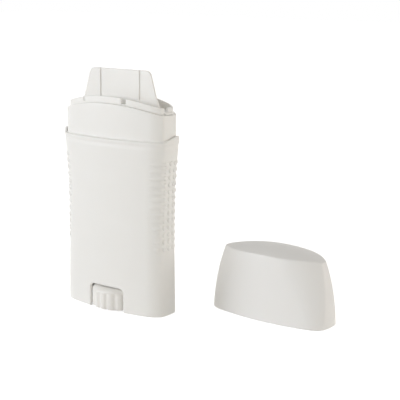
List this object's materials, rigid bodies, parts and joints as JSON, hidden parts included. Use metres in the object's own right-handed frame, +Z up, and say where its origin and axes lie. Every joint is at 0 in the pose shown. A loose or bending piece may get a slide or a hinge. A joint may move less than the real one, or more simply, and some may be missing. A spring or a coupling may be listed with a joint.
{
  "type": "deodorant stick container",
  "caption": "Empty oval twist-up stick container with a hand wheel in its base, a tabbed inner seal, and its deep cap standing beside it.",
  "frame": {"origin": "on the case's own vertical axis, in the plane its base stands on", "axes": "+Z up along the case, +X along the wide side of the oval towards the cap, -Y towards the front face"},
  "size_m": [0.139, 0.0614, 0.1211],
  "materials": {
    "case_white": "white polypropylene, satin from the mould",
    "dial_white": "white polypropylene, satin from the mould",
    "platform_white": "white polypropylene, plain from the mould",
    "seal_white": "white polypropylene, plain from the mould",
    "cap_white": "white polypropylene, satin from the mould"
  },
  "bodies": {
    "case": {"case": "case_white", "cap": "cap_white"},
    "dial": {"dial_spindle": "dial_white"},
    "platform": {"platform": "platform_white"},
    "seal": {"inner_seal": "seal_white"}
  },
  "joints": [
    {"name": "dial_turn", "type": "hinge", "parent": "case", "child": "dial", "pos_m": [0, 0, 0], "axis": [0, 0, 1], "range_deg": [0, 5940]},
    {"name": "platform_rise", "type": "slide", "parent": "case", "child": "platform", "axis": [0, 0, 1], "range_m": [0, 0.06601]},
    {"name": "seal_pull", "type": "slide", "parent": "case", "child": "seal", "axis": [0, 0, 1], "range_m": [0, 0.015]}
  ],
  "couplings": [
    {"joint": "platform_rise", "follows": "dial_turn", "m_per_rad": 0.00063662}
  ]
}
